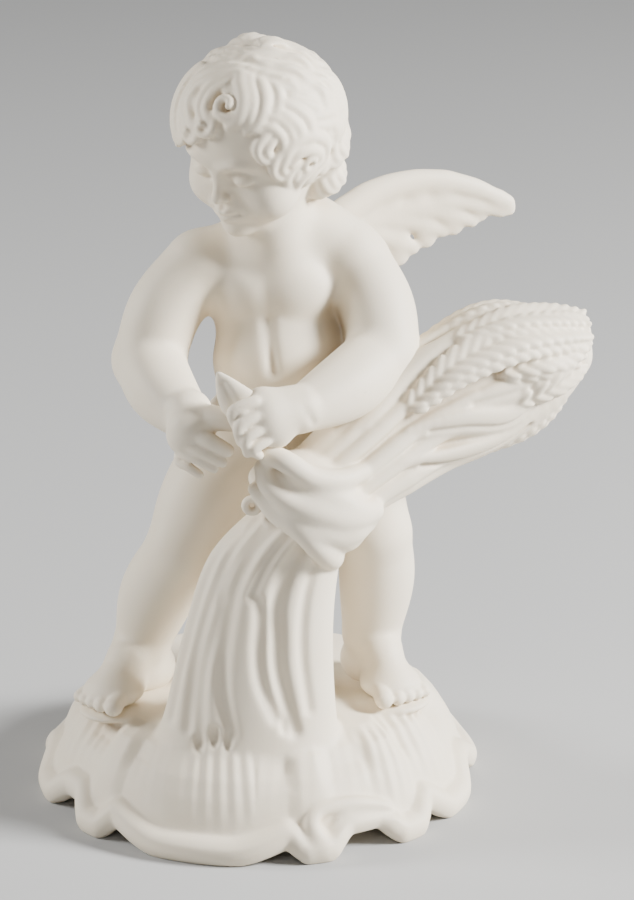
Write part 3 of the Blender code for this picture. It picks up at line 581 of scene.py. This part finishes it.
hand.limb(BODY, [(8.8, -26.0, 68.6), back], (4.6, 5.0), blend=1.5)
hand.ball(BODY, back + Vector((0.0, -0.2, -0.6)), (4.8, 4.4, 6.4), turned(y=-28), blend=1.5)
hand.limb(BODY, [(-2.4, -31.2, 69.8), (-0.6, -31.4, 62.8)], (2.1, 1.8), blend=1)
for start, bend, tip, thick in (
        ((0.2, -31.3, 71.6), (-4.0, -32.2, 70.0), (-3.4, -31.4, 66.6), 1.22),
        ((0.8, -32.1, 69.3), (-2.8, -33.4, 67.5), (-2.6, -32.4, 64.0), 1.22),
        ((1.6, -32.2, 66.9), (-1.5, -33.6, 65.1), (-1.3, -32.4, 61.7), 1.2),
        ((2.6, -31.8, 64.5), (-0.1, -33.2, 62.8), (0.9, -31.8, 61.0), 1.15)):
    hand.limb(BODY, [(back + Vector(start)) / 2, start, bend, tip],
              (thick * 1.3, thick * 1.1, thick, thick * 0.85), steps=4, blend=0.15)
child.join(hand, 0.6)
wrist_crease = [(9.4, -31.2, 71.4), (10.6, -31.0, 69.0), (11.4, -29.6, 66.6)]
child.limb(BODY, wrist_crease, (0.2, 0.4, 0.2), blend=1.4, cut=True)

# The head: a calm child's face on plain proportions, the eyes half way down, the nose and mouth in thirds
# below. It is bowed and turned towards the child's right hand. Its own frame looks along -Y.
HEAD = Matrix.Translation((0.4, -4.4, 118.9)) @ turned(-38, 19, 3).to_4x4()
middle = HEAD.translation
face = child.lump(middle - Vector((27, 27, 27)), middle + Vector((25, 25, 22)))
face.ball(HEAD, (0, 1.5, 0.4), (14.0, 15.0, 13.4))
face.ball(HEAD, (0, -4.4, 2.8), (11.4, 9.4, 9.4), blend=3)
face.ball(HEAD, (0, -4.2, -7.0), (10.8, 8.6, 10.2), blend=4)
face.ball(HEAD, (0, 4, -10), (9, 9, 9), blend=4)
face.ball(HEAD, (0, -7.4, -14.6), (6.0, 5.0, 4.6), blend=3)
for side in (-1, 1):
    face.ball(HEAD, (side * 6.2, -7.2, -9.4), (5.6, 5.5, 5.4), blend=2.5)
    face.ball(HEAD, (side * 4.7, -14.9, -3.2), (3.1, 1.9, 1.7), blend=2.0, cut=True)
    face.ball(HEAD, (side * 4.7, -10.9, -3.8), (2.8, 2.7, 2.1), blend=0.4)
    face.limb(HEAD, [(side * 2.2, -12.9, -4.5), (side * 4.7, -13.3, -5.3), (side * 7.3, -11.6, -4.5)],
              (0.25, 0.40, 0.25), blend=0.6, cut=True)
    face.limb(HEAD, [(side * 2.3, -13.2, -2.5), (side * 4.8, -13.3, -1.6), (side * 7.5, -11.4, -2.6)],
              (0.15, 0.26, 0.15), blend=0.6, cut=True)
    face.limb(HEAD, [(side * 1.7, -13.9, -0.7), (side * 4.9, -13.5, 0.4), (side * 8.2, -11.2, -0.6)],
              (0.4, 0.6, 0.3), blend=1.8)
    face.ball(HEAD, (side * 13.0, 1.5, -5.5), (1.6, 2.6, 3.6), blend=0.8)
face.limb(HEAD, [(0, -13.3, -1.8), (0, -13.9, -4.6), (0, -14.7, -7.2)], (0.9, 0.9, 1.2), blend=1.5)
face.ball(HEAD, (0, -15.1, -7.7), (1.15, 1.1, 1.0), blend=0.8)
for side in (-1, 1):
    face.ball(HEAD, (side * 1.25, -14.0, -8.0), (0.8, 1.0, 0.7), blend=0.6)
    face.ball(HEAD, (side * 0.7, -14.9, -9.0), (0.36, 0.5, 0.32), blend=0.4, cut=True)
face.ball(HEAD, (0, -11.8, -11.8), (3.8, 2.4, 2.8), blend=2.2)
face.limb(HEAD, [(0, -14.2, -9.5), (0, -14.3, -10.5)], (0.28, 0.32), blend=0.9, cut=True)
face.limb(HEAD, [(-2.8, -12.6, -11.6), (-1.0, -14.1, -11.2), (0, -14.2, -11.4), (1.0, -14.1, -11.2),
                 (2.8, -12.6, -11.6)], (0.3, 0.66, 0.6, 0.66, 0.3), blend=0.5)
face.limb(HEAD, [(-2.3, -12.7, -12.6), (0, -13.8, -12.9), (2.3, -12.7, -12.6)], (0.4, 0.82, 0.4), blend=0.6)
face.limb(HEAD, [(-3.2, -12.9, -11.6), (-1.2, -14.7, -12.0), (0, -14.8, -12.1), (1.2, -14.7, -12.0),
                 (3.2, -12.9, -11.6)], (0.28, 0.34, 0.3, 0.34, 0.28), blend=0.5, cut=True)
face.ball(HEAD, (0, -11.0, -16.2), (2.9, 2.6, 2.4), blend=1.8)
child.join(face, 2.0)

# The hair: short thick curls, each a lock of a few strands wound over the skull. The big ones fall on the
# forehead and over the ears; those behind are plainer and run in staggered rows. It is cast with the head.
SKULL = Vector((0, 1.1, 0.2)), Vector((14.8, 16.0, 14.2))  # middle and half-axes, here and below
NAPE_LEFT = Vector((7.4, 6.6, -13.8)), Vector((5.0, 5.0, 5.0))
NAPE_RIGHT = Vector((-6.0, 8.2, -12.6)), Vector((5.0, 5.0, 5.0))
BACK_OF_HEAD = Vector((0, 6, -6)), Vector((13.0, 10.3, 9.5))
SIDE = Vector((9.6, 6.0, -6.6)), Vector((5.2, 5.4, 5.2))
hair = child.lump(middle - Vector((27, 27, 27)), middle + Vector((27, 27, 23)))
hair.ball(HEAD, (0, 3.0, 0.6), (14.3, 13.7, 12.5), blend=0.5)
hair.ball(HEAD, *BACK_OF_HEAD, blend=2)
hair.ball(HEAD, (-7.0, -5.6, 5.9), (4.4, 4.4, 4.4), blend=3)
hair.ball(HEAD, (-4.7, -7.4, 7.4), (4.3, 4.3, 4.3), blend=3)
for tuft, radii in (NAPE_LEFT, NAPE_RIGHT, SIDE):
    hair.ball(HEAD, tuft, radii * 0.95, blend=2.5)


def on_skull(bearing, rise):
    """The way out of the skull at a bearing from the face and a rise above the ears, in degrees."""
    bearing, rise = math.radians(bearing), math.radians(rise)
    return Vector((math.sin(bearing) * math.cos(rise), -math.cos(bearing) * math.cos(rise), math.sin(rise)))


def onto(way, ball):
    """The surface of a ball along a way from its middle, and the normal there."""
    middle, radii = ball
    reach = 1 / Vector(way[i] / radii[i] for i in range(3)).length
    return middle + way * reach, Vector(way[i] / radii[i] ** 2 for i in range(3)).normalized()


def over(path, ball):
    """A smooth path over a ball along bearings and rises, with the normals there."""
    ways, _ = curved([on_skull(*spot) for spot in path], 1, 6)
    return [onto(Vector(way).normalized(), ball) for way in ways]


def lock(path, wide, strands, proud, ball=SKULL):
    """A lock of strands side by side, sunk till only their backs show, that close at its tip."""
    spots = over(path, ball)
    total = len(spots) - 1
    thick = wide / strands * 1.1
    for strand in range(strands):
        offset = 0 if strands == 1 else 2 * strand / (strands - 1) - 1
        line, radii = [], []
        for i in range(total + 1 - int(abs(offset) * 1.5)):
            share = i / total
            point, normal = spots[i]
            ahead = (spots[min(i + 1, total)][0] - spots[max(i - 1, 0)][0]).normalized()
            swell = math.sin(math.pi * (0.16 + 0.76 * share)) ** 0.75
            aside = point + normal.cross(ahead) * offset * (wide - thick) * swell
            point, normal = onto((aside - ball[0]).normalized(), ball)
            radius = thick * (0.35 + 0.65 * swell)
            line.append(point + normal * (proud * (0.35 + 0.65 * swell) - 0.15 * abs(offset) - radius))
            radii.append(radius)
        hair.limb(HEAD, line, radii, steps=1, blend=0.35)


def curl(bearing, rise, size, start, turns, proud):
    """A strand wound inwards round a spot, in degrees and turns."""
    out = on_skull(bearing, rise)
    level = Vector((0, 0, 1)).cross(out).normalized()
    steep = out.cross(level)
    middle, _ = onto(out, SKULL)
    steps = max(9, int(12 * abs(turns)))
    line, radii = [], []
    for i in range(steps + 1):
        share = i / steps
        angle = math.radians(start) + 2 * math.pi * turns * share
        radius = size * (1 - 0.80 * share)
        way = middle + (level * math.cos(angle) + steep * math.sin(angle)) * radius - SKULL[0]
        point, normal = onto(way.normalized(), SKULL)
        thick = size * (0.34 - 0.10 * share)
        line.append(point + normal * (proud * (0.55 + 0.45 * share) - thick))
        radii.append(thick)
    hair.limb(HEAD, line, radii, steps=1, blend=0.3)


def puff(bearing, rise, size, proud):
    """A rounded tuft that stands out of the rest, combed the same way."""
    point, normal = onto(on_skull(bearing, rise), SKULL)
    ball = point + normal * (proud - size), Vector((size, size, size))
    hair.ball(HEAD, *ball, blend=1.2)
    for turn in (-44, -8, 28):
        at = bearing + turn
        lock([(at - 22, rise + 38), (at + 4, rise + 16), (at + 6, rise - 12), (at - 14, rise - 34)],
             2.3, 2, 0.9, ball)


# behind, rows of plain wavy locks
for row, (rise, count, first, last, ball) in enumerate((
        (60, 6, 150, 310, SKULL), (38, 8, 146, 300, SKULL), (16, 9, 142, 292, SKULL),
        (2, 8, 120, 262, BACK_OF_HEAD), (-24, 7, 116, 256, BACK_OF_HEAD), (-50, 6, 110, 250, BACK_OF_HEAD))):
    for i in range(count):
        uneven = (0.37 * (i + 1) + 0.61 * (row + 1) + 0.13 * i * row) % 1
        bearing = first + (last - first) * i / (count - 1)
        way = (-1) ** (row + i // 2)
        stretch = 1 / math.cos(math.radians(rise))
        lock([(bearing - way * 7 * stretch, rise + 17), (bearing + way * 4 * stretch, rise + 8 + 4 * uneven),
              (bearing + way * 3 * stretch, rise - 5), (bearing - way * 6 * stretch, rise - 12 - 3 * uneven),
              (bearing - way * 12 * stretch, rise - 6)], 3.3 + 0.4 * uneven, 3, 1.3 + 0.6 * uneven, ball)
# over the crown, long soft waves from the parting
lock([(-60, 86), (70, 84), (100, 70), (112, 56), (106, 44)], 3.4, 3, 1.9)
lock([(160, 84), (130, 72), (128, 58), (118, 44), (112, 34)], 3.4, 3, 1.5)
lock([(30, 84), (78, 72), (90, 58), (88, 46), (80, 38)], 3.2, 3, 1.5)
lock([(-150, 82), (-110, 72), (-96, 56), (-92, 40)], 3.4, 3, 1.7)
lock([(-30, 70), (10, 76), (60, 80), (100, 74), (118, 66)], 2.6, 3, 2.1)
lock([(-150, 80), (160, 84), (140, 76), (132, 66), (138, 56)], 2.8, 3, 2.1)
lock([(96, 66), (104, 58), (118, 52), (128, 44), (124, 34)], 2.6, 3, 2.1)
lock([(70, 62), (84, 56), (98, 50), (108, 40), (104, 30)], 2.6, 3, 2.1)
lock([(128, 30), (134, 18), (130, 4), (121, -4), (113, -2)], 2.8, 3, 2.1)
lock([(138, 2), (136, -12), (126, -24), (114, -26)], 2.8, 3, 2.0)
lock([(120, -34), (116, -46), (104, -54), (92, -50)], 2.8, 3, 1.6)
lock([(140, -38), (136, -52), (122, -62), (104, -62)], 2.8, 3, 1.4)
for spot in ((-96, 45, 5.4, 1.5), (-142, 58, 6.0, 1.9), (156, 70, 6.4, 2.2), (130, 52, 6.0, 1.7),
             (114, 26, 5.6, 1.5), (110, -2, 5.2, 1.5), (96, 50, 5.0, 1.4)):
    puff(*spot)
# at the nape, puffs of short curls
for ball in (NAPE_LEFT, SIDE):
    for turn in (0, 48, 96):
        lock([(118 + turn, 62), (78 + turn * 0.8, 50), (58 + turn * 0.9, 22), (66 + turn, -8),
              (92 + turn, -24)], 2.2, 2, 0.9, ball)
    lock([(40, 40), (20, 16), (24, -14), (48, -30)], 2.0, 2, 0.8, ball)
for turn in (0, 50, 100, 150):
    lock([(150 + turn, 50), (170 + turn, 20), (160 + turn, -12), (140 + turn, -30)], 2.2, 2, 0.8, NAPE_RIGHT)
# the side, falling over the ear in short puffs
lock([(150, 40), (140, 26), (132, 10), (122, 0), (114, 4)], 3.6, 3, 1.5)
lock([(130, 60), (122, 48), (116, 34), (119, 20), (127, 14)], 3.4, 3, 1.6)
lock([(80, 44), (92, 38), (102, 26), (104, 12), (95, 5)], 3.4, 3, 1.7)
lock([(80, 21), (94, 17), (110, 9), (120, -6), (110, -14)], 3.4, 3, 1.7)
lock([(96, 0), (108, -10), (112, -24), (101, -32), (91, -27)], 3.4, 3, 1.7)
lock([(128, -16), (122, -28), (108, -38), (94, -42), (84, -36)], 3.2, 3, 1.5)
lock([(56, -3), (63, 5), (75, 5), (85, -4), (86, -14), (77, -18)], 2.8, 2, 2.0)
lock([(92, -18), (80, -21), (69, -27), (66, -36), (74, -41)], 2.6, 2, 1.8)
lock([(60, 40), (70, 31), (76, 19), (73, 8), (66, 6)], 2.8, 2, 1.9)
lock([(38, 27), (46, 31), (55, 27), (60, 17), (57, 7), (51, 7)], 2.3, 2, 1.7)
lock([(54, 22), (46, 18), (40, 12), (42, 5), (48, 3)], 2.0, 2, 1.5)
lock([(62, 6), (53, 3), (48, -5), (51, -13), (58, -13)], 2.0, 2, 1.5)
lock([(72, -12), (62, -12), (57, -20), (61, -28), (68, -28)], 2.0, 2, 1.4)
# the forehead: a round curl with strands swept over it, and commas that hang to its right
lock([(100, 62), (68, 60), (61, 45), (50, 32), (38, 26)], 2.4, 2, 1.7)
lock([(84, 70), (50, 65), (46, 46), (38, 32), (29, 27)], 2.3, 2, 2.0)
lock([(60, 76), (26, 66), (31, 48), (26, 36), (17, 31)], 1.9, 1, 2.1)
curl(13, 44, 3.4, 110, -1.35, 2.3)
lock([(20, 70), (-4, 62), (-14, 50), (-12, 38), (-2, 30), (5, 31)], 1.9, 2, 1.9)
lock([(60, 80), (-20, 68), (-40, 50), (-36, 34), (-20, 24), (-8, 18)], 2.3, 2, 2.2)
lock([(90, 84), (-60, 68), (-56, 48), (-46, 30), (-31, 17), (-20, 15)], 2.0, 2, 2.0)
lock([(-84, 70), (-70, 52), (-62, 34), (-50, 19), (-36, 9), (-27, 12)], 2.3, 3, 2.6)
lock([(-100, 66), (-82, 46), (-74, 28), (-62, 12), (-48, 2), (-38, 5)], 2.0, 2, 2.0)
lock([(-108, 52), (-94, 34), (-84, 16), (-70, 0), (-57, -5)], 2.5, 3, 2.5)
for bearing, rise in ((-4, 27), (-17, 19), (-32, 12), (-46, 3)):
    curl(bearing, rise, 2.5, 75, -0.9, 2.3)
curl(74, -11, 2.6, 40, -1.1, 1.9)
lock([(-106, 30), (-100, 8), (-86, -8), (-72, -12)], 2.6, 2, 1.4)
lock([(-112, 4), (-104, -16), (-90, -28), (-76, -26)], 2.8, 3, 2.0)
# partings drawn with a tool between the locks, where they would close up in the slip
for path in ([(-92, 62), (-76, 44), (-66, 26), (-54, 12), (-43, 5)],
             [(-104, 44), (-88, 26), (-74, 8), (-60, -2)],
             [(-70, 66), (-57, 46), (-49, 30), (-38, 18), (-29, 13)],
             [(-100, 64), (-92, 46), (-84, 30), (-74, 16)], [(60, 74), (84, 62), (96, 50), (100, 38)],
             [(90, 78), (108, 66), (116, 52), (118, 40)], [(140, 76), (136, 62), (134, 50), (128, 38)],
             [(84, 52), (94, 42), (100, 30), (98, 20)], [(112, 36), (116, 24), (114, 12), (108, 4)],
             [(126, 34), (126, 20), (122, 6)], [(30, 72), (60, 64), (76, 54), (84, 44)],
             [(-20, 78), (30, 80), (70, 70)], [(-120, 66), (-150, 76), (150, 80)],
             [(-70, 76), (-88, 62), (-100, 50)], [(-40, 74), (-66, 62), (-84, 50)]):
    line = [point + normal * 1.9 for point, normal in over(path, SKULL)]
    radii = np.interp(np.arange(len(line)), (0, 6, len(line) - 5, len(line) - 1), (0.2, 0.6, 0.6, 0.2))
    hair.limb(HEAD, line, radii, steps=1, blend=1.0, cut=True)
child.join(hair, 0.5)


# The wings: small and raised, each a thick leading edge with a fan of feathers laid on a thin web. They are
# cast apart and luted to the back.
WING_LENGTH, WING_BOW = 46, 1.8
# for each feather: where it starts and ends, along the wing and up, and half its width
FEATHERS = [((24, 4.0), (44.5, 0.6), 1.5), ((18, 3.5), (38.5, -0.9), 1.7), ((13, 2), (32.0, -2.2), 1.8),
            ((9, 0), (25.6, -5.0), 1.9), ((5, -3), (20.0, -8.6), 2.0), ((2, -6), (14.2, -13.0), 2.0)]


def wing(root, bearing, side):
    """A wing from its root along a bearing from straight behind; side, 1 or -1, is the feathers' face."""
    bearing = math.radians(bearing)
    out = Vector((math.sin(bearing), math.cos(bearing), 0))
    normal = Vector((out.y, -out.x, 0)) * side
    part = child.lump((-45, 0, 58), (66, 62, 112))

    def at(along, up, proud=0.0):
        bowed = proud - WING_BOW * math.sin(math.pi * along / WING_LENGTH)
        return Vector(root) + out * along + Vector((0, 0, up)) + normal * bowed

    edge = ((-3, -3.4, 3.0), (6.5, 3.0, 3.1), (17, 7.8, 2.9), (28, 8.8, 2.5), (38, 6.4, 2.2),
            (WING_LENGTH, 2.4, 1.5))
    part.limb(BODY, [at(along, up) for along, up, _ in edge], [thick for _, _, thick in edge], steps=6,
              flat=(normal, 0.72))
    for along, top, bottom in ((-1, -3, -10), (5, 2, -16.2), (10, 4, -14.6), (15, 6, -10.6), (20, 6.5, -6.2),
                               (26, 7, -3.2), (32, 6.5, -1.2), (38, 5.2, 0.2), (44, 2.8, 0.8)):
        radii = [(1 if along < 36 else 0.6) * thick for thick in (3.4, 3.2, 2.2)]
        part.limb(BODY, [at(along, top), at(along + 1.2, (top + bottom) / 2), at(along + 2.6, bottom)], radii,
                  blend=1.2, flat=(normal, 0.36))
    for start, end, width in FEATHERS:
        mid = at((start[0] + end[0]) / 2 + 0.4, (start[1] + end[1]) / 2 + 1.4, 0.6)
        part.limb(BODY, [at(*start, 0.5), mid, at(*end, 0.2)], (width * 0.9, width, width * 0.7), steps=5,
                  blend=0.9, flat=(normal, 0.5))
    child.join(part, 1.2)


wing((9, 11.5, 90.0), 64.5, 1)
wing((-2, 12.5, 90.0), -12, -1)

# Biscuit porcelain: unglazed, fired once to a warm white. The eye sees a matt, very slightly translucent skin
# with the fine tooth of the clay and a hint of cream where it is thick. The creases get painted shade, a
# darker warm tone laid in wherever ambient occlusion finds them. Sizes in metres.
# the third colour is painted shade for the creases, not a colour of the clay
BISQUE, BISQUE_CREAM, BISQUE_PAINTED_SHADE = "#ECE2CF", "#E6D9C1", "#B29C7C"
DRIFT = 0.014  # across one drift of cream
TOOTH, TOOTH_DEPTH = 0.0007, 0.0002  # the real tooth is finer and is drawn as coarse as it needs to show
CREASE_SHADE_REACH = 0.006


def linear(colour):
    """An sRGB hex colour as the linear values that the shader takes."""
    parts = [int(colour[i:i + 2], 16) / 255 for i in (1, 3, 5)]
    return [c / 12.92 if c <= 0.04045 else ((c + 0.055) / 1.055) ** 2.4 for c in parts] + [1]


def node(material, kind, settings=None, **links):
    """Adds a node; a link's value is another node's output or a plain value, for the input of that name, or
    of that number after an i."""
    made = material.node_tree.nodes.new(kind)
    for name, value in (settings or {}).items():
        setattr(made, name, value)
    for name, value in links.items():
        numbered = name[0] == "i" and name[1:].isdigit()
        socket = made.inputs[int(name[1:]) if numbered else name.replace("_", " ")]
        if isinstance(value, bpy.types.NodeSocket):
            material.node_tree.links.new(value, socket)
        else:
            socket.default_value = value
    return made


bisque = bpy.data.materials.new("bisque_porcelain")
bisque.use_nodes = True
shader = bisque.node_tree.nodes["Principled BSDF"]
place = node(bisque, "ShaderNodeTexCoord").outputs["Object"]
cloud = node(bisque, "ShaderNodeTexNoise", Vector=place, Scale=1 / DRIFT, Detail=3.0, Roughness=0.5)
body_tone = node(bisque, "ShaderNodeMix", {"data_type": "RGBA"}, Factor=cloud.outputs["Fac"],
                 i6=linear(BISQUE), i7=linear(BISQUE_CREAM))
# painted shade: ambient occlusion over a few millimetres darkens the creases towards the dark warm tone,
# standing in for the shade that falls in them
painted_shade_occlusion = node(bisque, "ShaderNodeAmbientOcclusion", {"samples": 8, "only_local": True}, Distance=CREASE_SHADE_REACH)
shade = node(bisque, "ShaderNodeMapRange", Value=painted_shade_occlusion.outputs["AO"], From_Min=0.25, From_Max=0.85,
             To_Min=0.55, To_Max=0.0)
tone = node(bisque, "ShaderNodeMix", {"data_type": "RGBA"}, Factor=shade.outputs["Result"],
            i6=body_tone.outputs[2], i7=linear(BISQUE_PAINTED_SHADE))
tooth = node(bisque, "ShaderNodeTexNoise", Vector=place, Scale=1 / TOOTH, Detail=4.0, Roughness=0.6)
bump = node(bisque, "ShaderNodeBump", Height=tooth.outputs["Fac"], Strength=0.10, Distance=TOOTH_DEPTH)
bisque.node_tree.links.new(tone.outputs[2], shader.inputs["Base Color"])
bisque.node_tree.links.new(bump.outputs["Normal"], shader.inputs["Normal"])
for name, value in (("Roughness", 0.58), ("IOR", 1.5), ("Specular IOR Level", 0.35),
                    ("Subsurface Weight", 0.12), ("Subsurface Radius", (1.0, 0.8, 0.6)),
                    ("Subsurface Scale", 0.0012)):
    shader.inputs[name].default_value = value

child.brush(1)
stand.brush(1)
for clay, name in ((child, "cherub"), (stand, "sheaf_and_mound")):
    piece = clay.fired(name, TRIANGLES)
    piece.data.materials.append(bisque)
    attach(piece, "root")
    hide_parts("cherub_figurine")

# The studio: a plain pale floor, a soft box high on the right, one low on the left and a weak one in front
PAPER, ROOM_GREY = "#ADADAC", (0.035, 0.035, 0.037, 1)
FLOOR_REACH = 3  # metres from the middle
floor_mesh = bpy.data.meshes.new("floor")
corners = [(x * FLOOR_REACH, y * FLOOR_REACH, 0) for x, y in ((-1, -1), (1, -1), (1, 1), (-1, 1))]
floor_mesh.from_pydata(corners, [], [(0, 1, 2, 3)])
floor = bpy.data.objects.new("floor", floor_mesh)
bpy.context.scene.collection.objects.link(floor)
paper = bpy.data.materials.new("background_paper")
paper.use_nodes = True
paper_shader = paper.node_tree.nodes["Principled BSDF"]
paper_shader.inputs["Base Color"].default_value = linear(PAPER)
paper_shader.inputs["Roughness"].default_value = 0.9
floor_mesh.materials.append(paper)


def soft_box(name, place, size, power):
    """A square light of a size in metres and a power in watts, aimed at the figurine."""
    light = bpy.data.objects.new(name, bpy.data.lights.new(name, "AREA"))
    light.data.size, light.data.energy = size, power
    light.location = place
    light.rotation_euler = (Vector((0, 0, 0.08)) - Vector(place)).to_track_quat("-Z", "Y").to_euler()
    bpy.context.scene.collection.objects.link(light)


soft_box("right_box", (0.80, -0.14, 0.48), 0.24, 31)
soft_box("left_box", (-0.80, 0.05, 0.42), 0.24, 9)
soft_box("front_box", (-0.15, -0.9, 0.75), 0.4, 2.2)
world = bpy.data.worlds.new("studio")
world.use_nodes = True
world.node_tree.nodes["Background"].inputs["Color"].default_value = ROOM_GREY
bpy.context.scene.world = world
